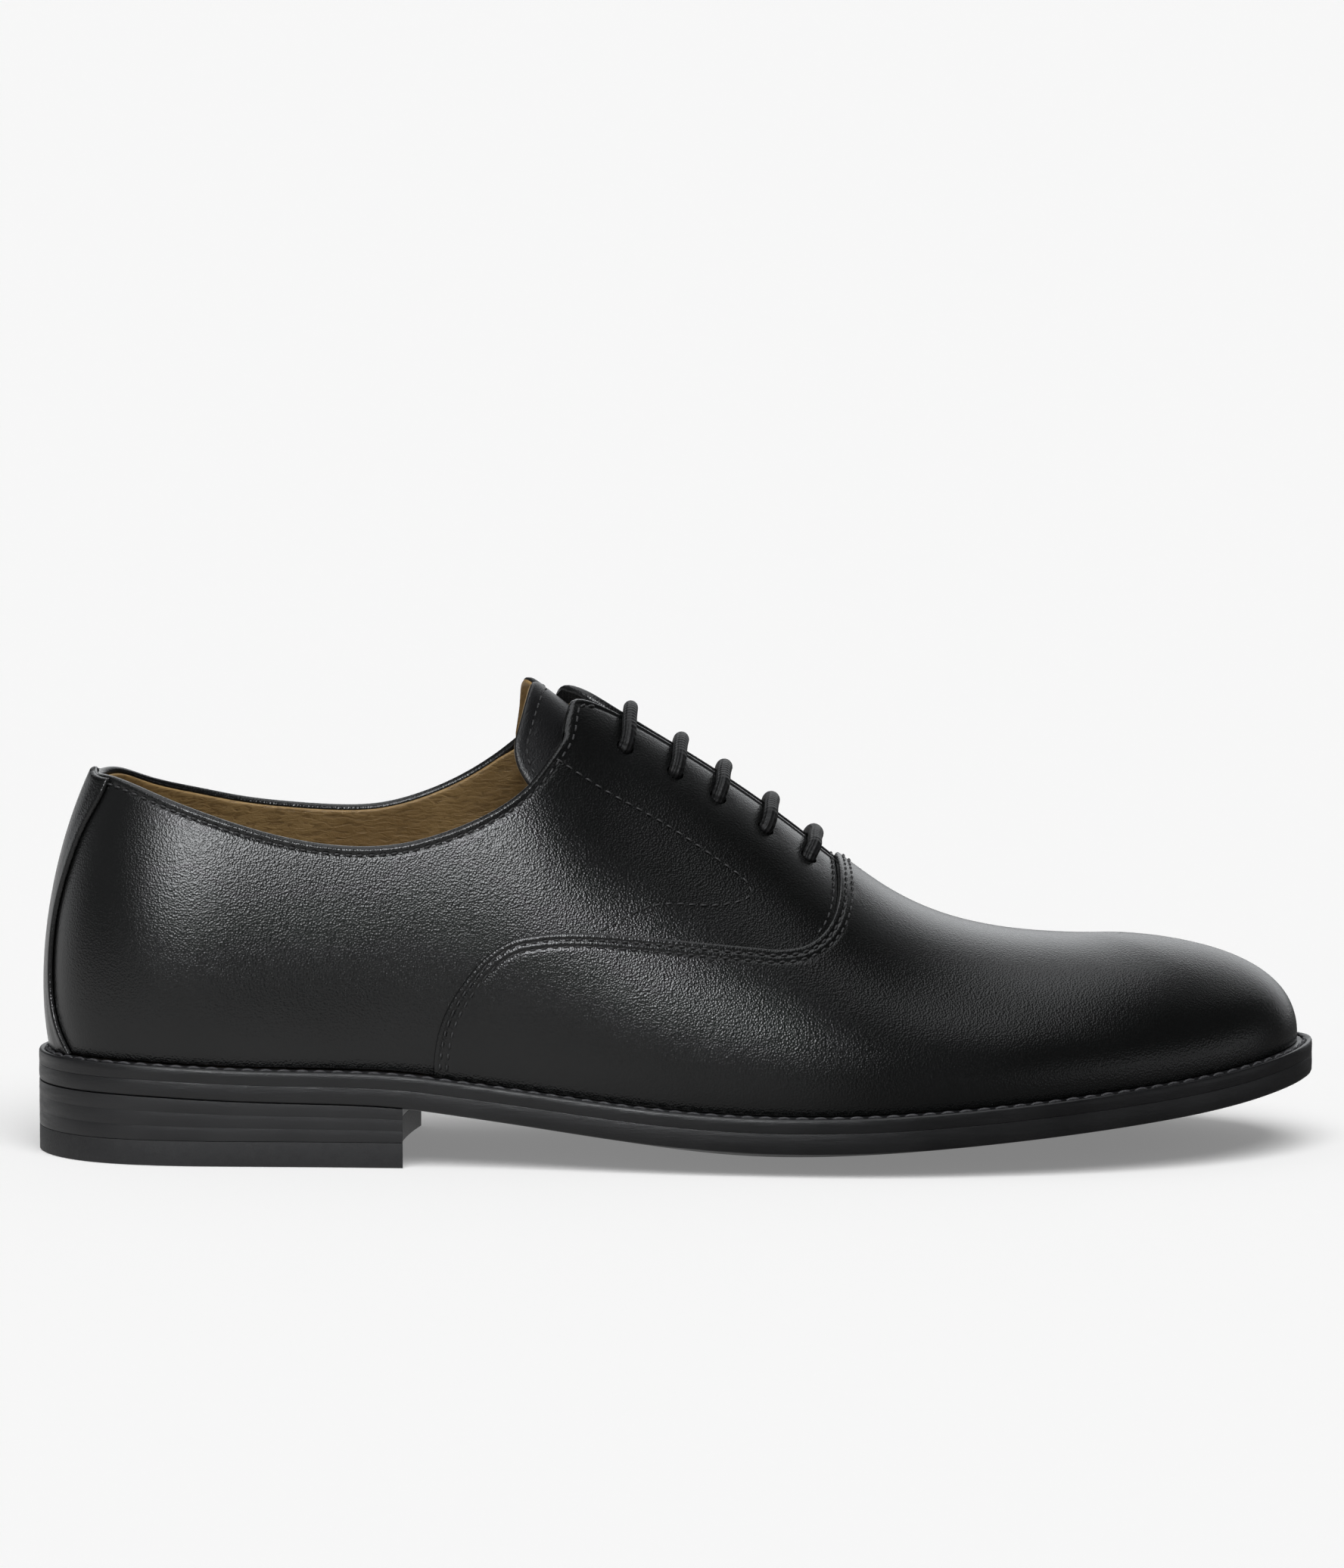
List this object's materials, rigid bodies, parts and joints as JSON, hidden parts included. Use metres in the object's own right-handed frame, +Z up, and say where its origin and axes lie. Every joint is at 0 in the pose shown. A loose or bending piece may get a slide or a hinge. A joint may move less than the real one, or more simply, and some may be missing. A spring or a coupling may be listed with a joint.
{
  "type": "leather oxford shoe",
  "caption": "Right-foot closed-lacing dress shoe in smooth black leather: plain toe, tan lining, straight-bar lacing, stitched welt and stacked heel.",
  "frame": {"origin": "centre of the heel's flat bottom face, on the ground", "axes": "+X towards the toe, +Z up, -Y towards the outer (lateral) side of the foot"},
  "size_m": [0.3063, 0.1055, 0.1132],
  "materials": {
    "upper_leather": "smooth polished calf with a fine grain",
    "tan_lining_leather": "soft matte lining leather",
    "canvas_lining": "plain cotton weave",
    "fibre_board": "matte leather-fibre board",
    "black_welt": "edge-dressed, satin",
    "black_sole": "edge-dressed, satin",
    "black_rubber": "matte",
    "stacked_heel": "stacked, ink-dressed edge",
    "cork": "granulated cork",
    "steel": "plain",
    "waxed_lace": "round braided and waxed"
  },
  "bodies": {
    "shoe": {"aglet_1": "steel", "aglet_2": "steel", "back_strip": "upper_leather", "cork_filler": "cork", "eyelet_lateral_1": "steel", "eyelet_lateral_2": "steel", "eyelet_lateral_3": "steel", "eyelet_lateral_4": "steel", "eyelet_lateral_5": "steel", "eyelet_medial_1": "steel", "eyelet_medial_2": "steel", "eyelet_medial_3": "steel", "eyelet_medial_4": "steel", "eyelet_medial_5": "steel", "facing_stay_lateral": "canvas_lining", "facing_stay_medial": "canvas_lining", "heel_counter": "fibre_board", "heel_grip": "tan_lining_leather", "heel_lift_1": "stacked_heel", "heel_lift_2": "stacked_heel", "heel_lift_3": "stacked_heel", "heel_nail_1": "steel", "heel_nail_2": "steel", "heel_nail_3": "steel", "heel_nail_4": "steel", "heel_nail_5": "steel", "heel_top_piece": "black_rubber", "insole": "fibre_board", "lace": "waxed_lace", "outsole": "black_sole", "quarter_lateral": "upper_leather", "quarter_lining_lateral": "tan_lining_leather", "quarter_lining_medial": "tan_lining_leather", "quarter_medial": "upper_leather", "shank": "steel", "sock_lining": "tan_lining_leather", "vamp": "upper_leather", "vamp_lining": "canvas_lining", "welt": "black_welt"},
    "tongue": {"tongue": "upper_leather", "tongue_lining": "tan_lining_leather"},
    "forepart": {"toe_puff": "fibre_board"}
  },
  "joints": [
    {"name": "tongue_hinge", "type": "hinge", "parent": "shoe", "child": "tongue", "pos_m": [0.14927, 0, 0.05892], "axis": [0, 1, 0], "range_deg": [-12, 0], "stiffness_Nm_per_rad": 0.6},
    {"name": "forefoot_flex", "type": "hinge", "parent": "shoe", "child": "forepart", "pos_m": [0.168, 0, 0.008], "axis": [0, -1, 0], "range_deg": [0, 25], "stiffness_Nm_per_rad": 8, "deforming": ["vamp", "vamp_lining", "outsole", "welt", "insole", "sock_lining", "cork_filler"]}
  ]
}
